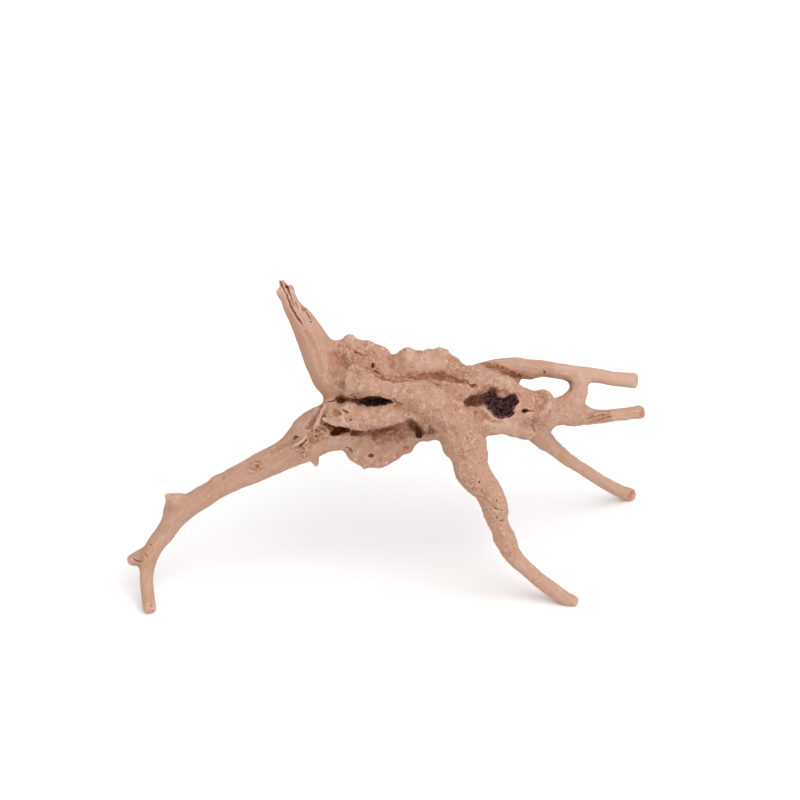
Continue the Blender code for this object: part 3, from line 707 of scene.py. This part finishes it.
class Clay:
    """The skin's points as arrays, with what the photograph's camera sees of them."""

    def __init__(self, mesh):
        self.mesh = mesh
        self.points = mesh_points(mesh)
        self.edges = mesh_edges(mesh)
        self.stain_and_shade = np.zeros(len(self.points))
        self.dark = np.zeros(len(self.points))
        self.look()

    def look(self):
        """Brings the normals and what the photograph's camera sees up to date."""
        pixels, depth = to_pixels(self.points)
        away = self.points - CAMERA_PLACE
        rays = away / np.linalg.norm(away, axis=1)[:, None]
        self.see(pixels, depth, rays, MM_PER_PIXEL)

    def look_from_behind(self):
        """The same for a level view of the far side, whose pixels are millimetres."""
        pixels = self.points[:, [0, 2]] * (1, -1)
        rays = np.tile((0.0, -1.0, 0.0), (len(pixels), 1))
        self.see(pixels, -self.points[:, 1], rays, 1.0)

    def see(self, pixels, depth, rays, unit):
        """Keeps a view's pixels, rays and size of a pixel, and finds the points that it shows."""
        set_points(self.mesh, self.points)
        self.normals = mesh_normals(self.mesh)
        self.pixels, self.depth, self.rays, self.unit = pixels, depth, rays, unit
        wander = [smooth_noise(self.points, WANDER_SIZE, seed) for seed in WANDER_SEEDS]
        self.wandering = self.pixels + WANDER * np.stack(wander, axis=1)
        facing = -(self.normals * self.rays).sum(axis=1)
        cells = ((self.pixels - self.pixels.min(axis=0)) / VISIBLE_CELL).astype(int)
        keys = cells[:, 1] * PICTURE + cells[:, 0]
        nearest = np.full(PICTURE * PICTURE, np.inf)
        np.minimum.at(nearest, keys, self.depth)
        in_front = self.depth < nearest[keys] + VISIBLE_DEPTH
        self.in_front = spread(1.0 * (in_front & (facing > TURNED_AWAY)), self.edges, EDGE_ROUNDS)
        self.seen = self.in_front * spread(ease(facing, *EDGE_ON), self.edges, EDGE_ROUNDS)

    def mark(self, kind, half, height, stain_and_shade, path):
        """Presses a path of the photograph into the skin, and darkens it with stain and painted shade."""
        reach = half / self.unit
        weight = self.in_front if kind == "round" else self.seen
        corners = np.array(path, float)
        low = corners.min(axis=0) - reach - 1
        high = corners.max(axis=0) + reach + 1
        near = np.all((self.wandering > low) & (self.wandering < high), axis=1) & (weight > 0)
        near = np.flatnonzero(near)
        distance, along = path_distance(self.wandering[near], path)
        width = np.full(len(near), reach)
        if len(path) > 1 and kind == "cut":
            width = reach * np.sqrt(np.clip(np.sin(math.pi * along), CUT_TIP, 1))
        share = PROFILES[kind](distance / width) * weight[near]
        outward = self.normals[near]
        if kind != "round":
            outward = CUT_OUTWARD * outward - CUT_TOWARDS_EYE * self.rays[near]
        self.points[near] += outward * (height * share)[:, None]
        self.stain_and_shade[near] = np.maximum(self.stain_and_shade[near], stain_and_shade * share)

    def hollow(self, darkness, redness, outline):
        """Darkens what lies behind the rim of an outline with stain and painted shade, and gives how nearly
        black each point is.
        """
        inside = inside_outline(self.wandering, outline)
        distance, _ = path_distance(self.wandering, outline + outline[:1])
        near = ease(np.where(inside, distance, -distance), -HOLLOW_EDGE, HOLLOW_EDGE)
        ring = ~inside & (distance > HOLLOW_RIM[0]) & (distance < HOLLOW_RIM[1]) & (self.seen > WELL_SEEN)
        basis = np.column_stack((self.pixels[ring], np.ones(ring.sum())))
        plane, *_ = np.linalg.lstsq(basis, self.depth[ring], rcond=None)
        behind = self.depth - self.pixels @ plane[:2] - plane[2]
        share = near * ease(behind, *HOLLOW_START) * (behind < HOLLOW_END)
        black = share * darkness * (1 - redness)
        self.dark = np.maximum(self.dark, black)
        self.stain_and_shade = np.maximum(self.stain_and_shade, share * darkness * redness)
        return black

    def patch(self, outline):
        """How much each visible point belongs to an outline, with a soft edge."""
        inside = inside_outline(self.wandering, outline)
        distance, _ = path_distance(self.wandering, outline + outline[:1])
        return inside * ease(distance, 0, PATCH_EDGE) * self.in_front

    def push(self, height):
        """Moves every point outwards by its height."""
        self.points = self.points + self.normals * height[:, None]


# Keeps the grain of one line unlike the next one's: millimetres
LINE_OFFSET = 37.0


def grain_coordinates(points):
    """Each point's place in the long grain and its roughness, from the nearest grain line."""
    count = len(points)
    best = np.full(count, np.inf)
    place = np.zeros((count, 3))
    rough = np.zeros(count)
    for number, (rough_start, rough_end, stretch, line) in enumerate(GRAIN_LINES.values()):
        line = np.array(line, float)
        centres = line[:, :3] + CENTRING
        steps = np.diff(centres, axis=0)
        lengths = np.linalg.norm(steps, axis=1)
        passed = np.concatenate(((0.0,), np.cumsum(lengths)))
        for index, (start, step, length) in enumerate(zip(centres, steps, lengths)):
            share = np.clip((points - start) @ step / length ** 2, 0, 1)
            offset = points - start - share[:, None] * step
            radius = line[index, 3] + share * (line[index + 1, 3] - line[index, 3])
            distance = np.linalg.norm(offset, axis=1) - radius
            closer = distance < best
            best[closer] = distance[closer]
            along = passed[index] + share * length
            spot = offset + (along / stretch)[:, None] + LINE_OFFSET * number
            place[closer] = spot[closer]
            part = along / passed[-1]
            rough[closer] = (rough_start + part * (rough_end - rough_start))[closer]
    return place, rough


# Layers of noise: the size of their features in millimetres, a seed, and how much each one counts
WARP_SEEDS = (11, 12, 13)
WARP_SIZE = 3.0
WARP = 1.6
GRAINS = (2.3, 14)
GRAIN_REACH = 0.5
GRAIN_HEIGHT = 0.75
GRANULES_DROP = 0.1
CLUSTERS = (7.0, 17)
CLUSTER_EDGES = (-0.45, 0.45)
LUMPS = (5.0, 16, 1.1)
CLODS = (2.6, 18, 0.7)
GRIT = (1.2, 19, 0.25)
WAVES = (9.0, 21, 0.25)
LONG_GRAIN = (1.7, 22, 1.0)
FINE_GRAIN = (0.9, 23, 0.6)
CURLS = (3.6, 24, 2.6)
FINE_CURLS = (1.8, 25, 1.2)
BLOTCHES = (3.6, 52, 0.7)
FINE_BLOTCHES = (1.4, 51, 1.0)
ROUGH_PATCHES = (8.0, 53, 1.0)

# Scattered pits: their spacing in millimetres, a seed, and the share of them that there is
HOLES = (6.5, 31, 0.25)
SPECKS = (3.1, 33, 0.35)
BEADS = (3.7, 35, 0.3)
PIT_EDGES = (0.12, 0.3)
PIT_GROUPS = 1.7

# Heights in millimetres, and how much a pit stains
SLIMMING = 0.1
LONG_GRAIN_HEIGHT = 0.09
LONG_GRAIN_LOSS = 0.05
GRANULES_HEIGHT = 0.65
CURLS_HEIGHT = 1.2
PIT_DEPTH = 0.6
HOLES_STAIN = 0.5
SPECKS_STAIN = 0.2

# How the roughness and the blotches of the patches vary: their least, their swing and where it sets in
ROUGH_ROUNDS = 25
ROUGH_LEAST = 0.55
ROUGH_SWING = 0.45
ROUGH_EDGES = (-0.35, 0.35)
HOLES_LEAST = 0.25
HOLES_SWING = 0.75
BLOTCH_LEAST = 0.4
BLOTCH_SWING = 0.6
BLOTCH_EDGES = (-0.5, 0.7)


def layer(points, size, seed, height):
    return height * smooth_noise(points, size, seed)


def granular_relief(points):
    """Soft grains and pits of the rough wood, from about -1 to 1."""
    warp = [smooth_noise(points, WARP_SIZE, seed) for seed in WARP_SEEDS]
    warped = points + np.stack(warp, axis=1) * WARP
    grains = GRAIN_REACH - cell_noise(warped, *GRAINS)
    clusters = ease(smooth_noise(points, *CLUSTERS), *CLUSTER_EDGES)
    coarse = layer(points, *LUMPS) + layer(warped, *CLODS)
    return coarse + layer(warped, *GRIT) + GRAIN_HEIGHT * grains * clusters - GRANULES_DROP


def pits(points, size, seed, share):
    """Scattered round pits: 1 at their middle, and only for a share of the cells."""
    near = cell_noise(points, size, seed)
    chosen = smooth_noise(points, size * PIT_GROUPS, seed + 1) > 1 - 2 * share
    return (1 - ease(near, *PIT_EDGES)) * chosen


def press_marks(clay):
    """Presses in every mark, first those seen from the front and then those seen from behind."""
    for group in MARKS:
        for row in group.values():
            clay.mark(*row)
    clay.look_from_behind()
    for row in BACK_MARKS.values():
        clay.mark(*row)
    clay.look()


def lay_patches(clay, rough):
    """Darkens the patches with stain and painted shade or makes them paler, partly as painted light, and
    gives the roughness with the patches in it.
    """
    mottle = layer(clay.points, *FINE_BLOTCHES) + layer(clay.points, *BLOTCHES)
    blotches = BLOTCH_LEAST + BLOTCH_SWING * ease(mottle, *BLOTCH_EDGES)
    for roughness, stain_and_shade, outline in PATCHES.values():
        share = clay.patch(outline)
        rough += share * (roughness - rough)
        if stain_and_shade < 0:
            clay.stain_and_shade += stain_and_shade * share
        else:
            stained_and_shaded = np.maximum(clay.stain_and_shade, stain_and_shade * share * blotches)
            clay.stain_and_shade = np.where(share > 0, stained_and_shaded, clay.stain_and_shade)
    return rough


def sculpt(skin):
    """Presses in the marks, raises the relief, and keeps what the material needs at each point."""
    clay = Clay(skin.data)
    press_marks(clay)
    # The near black of the hollows: the pocket's char and painted shade in the crevice
    blackness = np.zeros(len(clay.points))
    for row in HOLLOWS.values():
        blackness = np.maximum(blackness, clay.hollow(*row))
    points = clay.points
    grain_at, rough = grain_coordinates(points)
    rough = spread(rough, clay.edges, ROUGH_ROUNDS)
    rough *= ROUGH_LEAST + ROUGH_SWING * ease(layer(points, *ROUGH_PATCHES), *ROUGH_EDGES)
    rough = lay_patches(clay, rough)
    long_grain = layer(grain_at, *LONG_GRAIN) + layer(grain_at, *FINE_GRAIN)
    curls = 1 - np.abs(layer(points, *CURLS)) - np.abs(layer(points, *FINE_CURLS))
    holes = pits(points, *HOLES) * (HOLES_LEAST + HOLES_SWING * rough)
    specks = pits(points, *SPECKS) * rough
    beads = pits(points, *BEADS) * rough
    height = layer(points, *WAVES)
    height += (LONG_GRAIN_HEIGHT - LONG_GRAIN_LOSS * rough) * long_grain
    height += GRANULES_HEIGHT * rough * (1 - blackness) * granular_relief(points)
    height += (PIT_DEPTH * beads - PIT_DEPTH * specks) * (1 - blackness)
    height += CURLS_HEIGHT * blackness * curls - SLIMMING
    height -= PIT_DEPTH * holes * (1 - blackness)
    clay.push(height)
    clay.stain_and_shade += HOLES_STAIN * holes + SPECKS_STAIN * specks
    keep_in_box(clay)
    write_attributes(clay, grain_at, rough)


def keep_in_box(clay):
    """Holds every point inside the CAD model's box."""
    low = np.array(CAD_BOX[0]) / MM
    high = np.array(CAD_BOX[1]) / MM
    clay.points = np.clip(clay.points, low, high)
    clay.look()


# How many rounds smooth the form that a hollow is measured from, and the depth that counts as 1
FINE_HOLLOW = (6, 0.10)
BROAD_HOLLOW = (50, 0.9)


def hollowness(clay, rounds, scale):
    """How far the surface lies below its own smoothed form: above 0 in hollows, below 0 on edges."""
    smoothed = spread(clay.points, clay.edges, rounds)
    return np.clip(((smoothed - clay.points) * clay.normals).sum(axis=1) / scale, -1, 1)


def write_attributes(clay, grain_at, rough):
    """Stores what the wood's material reads at each point."""
    values = {
        "fine_hollow": hollowness(clay, *FINE_HOLLOW),
        "broad_hollow": hollowness(clay, *BROAD_HOLLOW),
        "rough": rough,
        "stain_and_shade": clay.stain_and_shade,
        "dark": clay.dark,
    }
    for name, data in values.items():
        attribute = clay.mesh.attributes.new(name, "FLOAT", "POINT")
        attribute.data.foreach_set("value", data.astype(np.float32))
    attribute = clay.mesh.attributes.new("grain_at", "FLOAT_VECTOR", "POINT")
    attribute.data.foreach_set("vector", grain_at.astype(np.float32).ravel())


def make_skin():
    skin = copy_of_node(NODE)
    round_off_facets(skin)
    fine_skin(skin, FINE_VOXEL)
    soften(skin, SOFT_ROUNDS)
    sculpt(skin)
    thin_out(skin)
    skin.data.shade_smooth()
    return skin


# The wood

# Colours of the wood. The dark tone and the brown also paint shade in hollows, creases and under ledges; the
# pale tone also paints highlights on edges and light on the pale patches; the mauve paints highlights on the
# ridges of the dark wrinkles; the near black and the plum also paint shade in the crevice.
PALE = (0.495, 0.302, 0.226, 1)
WARM = (0.465, 0.255, 0.168, 1)
ROUGH_TONE = (0.43, 0.23, 0.15, 1)
PALE_TONE_AND_HIGHLIGHT = (0.64, 0.43, 0.34, 1)
DARK_TONE_AND_SHADE = (0.30, 0.115, 0.055, 1)
BROWN = (0.19, 0.048, 0.022, 1)
NEARLY_BLACK = (0.05, 0.014, 0.016, 1)
PLUM = (0.17, 0.052, 0.048, 1)
MAUVE_HIGHLIGHT = (0.25, 0.13, 0.125, 1)
ROUGH_TONE_SHARE = 0.9
ROUGHNESS = 0.82
SPECULAR = 0.3
GRAINS_SHARE = 2.0
BUMP_STRENGTH = 0.6
BUMP_DISTANCE = 0.4

# Noise of the wood: its scale for a place in millimetres, its detail and its roughness
NOISES = {
    "warmth": (0.045, 3.0, 0.5),
    "fibres": (0.75, 3.0, 0.6),
    "bright": (0.5, 2.0, 0.5),
    "specks": (0.45, 4.0, 0.7),
    "speckle": (1.3, 2.0, 0.5),
    "char_and_shade": (0.5, 3.0, 0.5),
    "grains": (1.1, 4.0, 0.65),
    "pores": (1.5, 3.0, 0.6),
}

# Ramps: the two values that each one runs between, and what it gives at each
RAMPS = {
    "warmth": (0.35, 0.65, 0.0, 1.0),
    "fibres": (0.42, 0.72, 0.0, 0.28),
    "bright": (0.5, 0.75, 0.0, 0.3),
    "specks": (0.52, 0.75, 0.0, 0.4),
    # Painted shade in the skin's hollows and painted highlights on its edges
    "fine_hollow": (0.1, 1.0, 0.0, 0.6),
    "fine_edge_highlight": (-0.15, -1.0, 0.0, 0.6),
    "broad_hollow": (0.1, 1.0, 0.0, 0.8),
    "broad_edge_highlight": (-0.1, -1.0, 0.0, 0.3),
    "speckle": (0.4, 0.62, 0.5, 1.4),
    "pale": (0.0, -1.0, 0.0, 1.0),
    "stained_and_shaded": (0.0, 0.5, 0.0, 0.75),
    "brown": (0.45, 0.9, 0.0, 1.0),
    "char_and_shade": (0.45, 0.62, 0.0, 1.0),
    # Painted highlight on the ridges of the dark wrinkles
    "char_edge_highlight": (0.0, -0.8, 0.0, 0.8),
    "dark": (0.15, 0.6, 0.0, 1.0),
}

# Sockets of a mix node that mixes colours
MIX_SHARE = 0
MIX_FIRST = 6
MIX_SECOND = 7
MIX_RESULT = 2


class Nodes:
    """Short calls that add shader nodes and link them."""

    def __init__(self, material):
        self.tree = material.node_tree

    def add(self, kind, settings=None, **inputs):
        node = self.tree.nodes.new(kind)
        for name, value in (settings or {}).items():
            setattr(node, name, value)
        for name, value in inputs.items():
            self.feed(node.inputs[name.replace("_", " ")], value)
        return node

    def feed(self, socket, value):
        if isinstance(value, bpy.types.NodeSocket):
            self.tree.links.new(value, socket)
        else:
            socket.default_value = value

    def attribute(self, name, output="Fac"):
        return self.add("ShaderNodeAttribute", {"attribute_name": name}).outputs[output]

    def noise(self, name, vector):
        scale, detail, roughness = NOISES[name]
        settings = dict(Vector=vector, Scale=scale, Detail=detail, Roughness=roughness)
        return self.add("ShaderNodeTexNoise", **settings).outputs["Fac"]

    def ramp(self, name, value):
        low, high, start, end = RAMPS[name]
        settings = dict(Value=value, From_Min=low, From_Max=high, To_Min=start, To_Max=end)
        return self.add("ShaderNodeMapRange", {"clamp": True}, **settings).outputs["Result"]

    def clouds(self, name, vector):
        return self.ramp(name, self.noise(name, vector))

    def maths(self, operation, first, second):
        node = self.tree.nodes.new("ShaderNodeMath")
        node.operation = operation
        self.feed(node.inputs[0], first)
        self.feed(node.inputs[1], second)
        return node.outputs[0]

    def mix(self, share, first, second):
        node = self.add("ShaderNodeMix", {"data_type": "RGBA"})
        self.feed(node.inputs[MIX_SHARE], share)
        self.feed(node.inputs[MIX_FIRST], first)
        self.feed(node.inputs[MIX_SECOND], second)
        return node.outputs[MIX_RESULT]

    def scaled(self, vector, scale):
        node = self.tree.nodes.new("ShaderNodeVectorMath")
        node.operation = "SCALE"
        self.feed(node.inputs[0], vector)
        node.inputs["Scale"].default_value = scale
        return node.outputs[0]


def wood_colour(nodes, place, grain):
    """Pale wood with long grain, with painted shade in its hollows and painted highlights on its edges,
    brown with stain and painted shade in its cracks and under its ledges, charred in its pocket and painted
    near black as shade in its crevice.
    """
    rough = nodes.attribute("rough")
    smooth = nodes.maths("SUBTRACT", 1.0, rough)
    colour = nodes.mix(nodes.clouds("warmth", place), PALE, WARM)
    colour = nodes.mix(nodes.maths("MULTIPLY", rough, ROUGH_TONE_SHARE), colour, ROUGH_TONE)
    colour = nodes.mix(nodes.maths("MULTIPLY", nodes.clouds("fibres", grain), smooth), colour, DARK_TONE_AND_SHADE)
    colour = nodes.mix(nodes.maths("MULTIPLY", nodes.clouds("bright", grain), smooth), colour, PALE_TONE_AND_HIGHLIGHT)
    colour = nodes.mix(nodes.maths("MULTIPLY", nodes.clouds("specks", place), rough), colour, DARK_TONE_AND_SHADE)
    # Painted shade in the hollows and painted highlights on the edges, from the skin's hollowness
    fine = nodes.attribute("fine_hollow")
    colour = nodes.mix(nodes.ramp("fine_hollow", fine), colour, DARK_TONE_AND_SHADE)
    colour = nodes.mix(nodes.ramp("fine_edge_highlight", fine), colour, PALE_TONE_AND_HIGHLIGHT)
    broad = nodes.attribute("broad_hollow")
    colour = nodes.mix(nodes.ramp("broad_hollow", broad), colour, DARK_TONE_AND_SHADE)
    colour = nodes.mix(nodes.ramp("broad_edge_highlight", broad), colour, PALE_TONE_AND_HIGHLIGHT)
    # Stain and painted shade from the marks, hollows and patches; below 0 it makes the wood paler
    stain_and_shade = nodes.maths("MULTIPLY", nodes.attribute("stain_and_shade"), nodes.clouds("speckle", place))
    colour = nodes.mix(nodes.ramp("pale", stain_and_shade), colour, PALE_TONE_AND_HIGHLIGHT)
    colour = nodes.mix(nodes.ramp("stained_and_shaded", stain_and_shade), colour, DARK_TONE_AND_SHADE)
    colour = nodes.mix(nodes.ramp("brown", stain_and_shade), colour, BROWN)
    # Char in the pocket and painted shade in the crevice, with painted highlights on the ridges of the
    # wrinkles
    char_and_shade = nodes.mix(nodes.clouds("char_and_shade", place), NEARLY_BLACK, PLUM)
    char_and_shade = nodes.mix(nodes.ramp("char_edge_highlight", fine), char_and_shade, MAUVE_HIGHLIGHT)
    return nodes.mix(nodes.ramp("dark", nodes.attribute("dark")), colour, char_and_shade)


def wood():
    material = bpy.data.materials.new("pale_bogwood")
    material.use_nodes = True
    nodes = Nodes(material)
    shader = material.node_tree.nodes["Principled BSDF"]
    coordinates = nodes.add("ShaderNodeTexCoord").outputs["Object"]
    place = nodes.scaled(coordinates, 1 / MM)
    grain = nodes.attribute("grain_at", "Vector")
    nodes.feed(shader.inputs["Base Color"], wood_colour(nodes, place, grain))
    shader.inputs["Roughness"].default_value = ROUGHNESS
    shader.inputs["Specular IOR Level"].default_value = SPECULAR
    grains = nodes.maths("MULTIPLY", nodes.noise("grains", place), nodes.attribute("rough"))
    grains = nodes.maths("MULTIPLY", grains, GRAINS_SHARE)
    pores = nodes.maths("ADD", grains, nodes.noise("pores", grain))
    bump = nodes.add("ShaderNodeBump", Strength=BUMP_STRENGTH, Distance=BUMP_DISTANCE * MM, Height=pores)
    nodes.feed(shader.inputs["Normal"], bump.outputs["Normal"])
    return material


# The stage

WORLD_STRENGTH = 0.78
SUN_STRENGTH = 1.7
SUN_FROM = (0.5, -0.55, 1.0)
SUN_WIDTH = 60.0
FLOOR_COLOUR = (0.94, 0.94, 0.94, 1)
FLOOR_ROUGHNESS = 0.9
FLOOR_SIZE = 6.0
WHITE = (1.0, 1.0, 1.0, 1)


def aim(obj, place, at):
    obj.location = place
    obj.rotation_euler = (Vector(at) - Vector(place)).to_track_quat("-Z", "Y").to_euler()


def add_camera():
    data = bpy.data.cameras.new("camera")
    data.lens = LENS
    data.sensor_width = SENSOR
    camera = bpy.data.objects.new("camera", data)
    bpy.context.scene.collection.objects.link(camera)
    aim(camera, Vector(CAMERA_PLACE * MM), Vector(TARGET) * MM)
    bpy.context.scene.camera = camera


def add_sun():
    data = bpy.data.lights.new("key", "SUN")
    data.angle = math.radians(SUN_WIDTH)
    data.energy = SUN_STRENGTH
    light = bpy.data.objects.new("key", data)
    bpy.context.scene.collection.objects.link(light)
    aim(light, SUN_FROM, (0, 0, 0))


def add_world():
    world = bpy.data.worlds.new("studio")
    world.use_nodes = True
    background = world.node_tree.nodes["Background"]
    background.inputs["Color"].default_value = WHITE
    background.inputs["Strength"].default_value = WORLD_STRENGTH
    bpy.context.scene.world = world


def add_floor():
    mesh = bpy.data.meshes.new("floor")
    shape = bmesh.new()
    bmesh.ops.create_grid(shape, x_segments=1, y_segments=1, size=FLOOR_SIZE)
    shape.to_mesh(mesh)
    shape.free()
    floor = bpy.data.objects.new("floor", mesh)
    bpy.context.scene.collection.objects.link(floor)
    material = bpy.data.materials.new("floor")
    material.use_nodes = True
    shader = material.node_tree.nodes["Principled BSDF"]
    shader.inputs["Base Color"].default_value = FLOOR_COLOUR
    shader.inputs["Roughness"].default_value = FLOOR_ROUGHNESS
    shader.inputs["Specular IOR Level"].default_value = 0.0
    mesh.materials.append(material)


bpy.context.scene.view_settings.view_transform = "Standard"
root = make_skin()
root.name = "bogwood_root_skin"
root.data.materials.append(wood())
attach(root, "root")
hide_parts(NODE)
add_floor()
add_world()
add_sun()
add_camera()
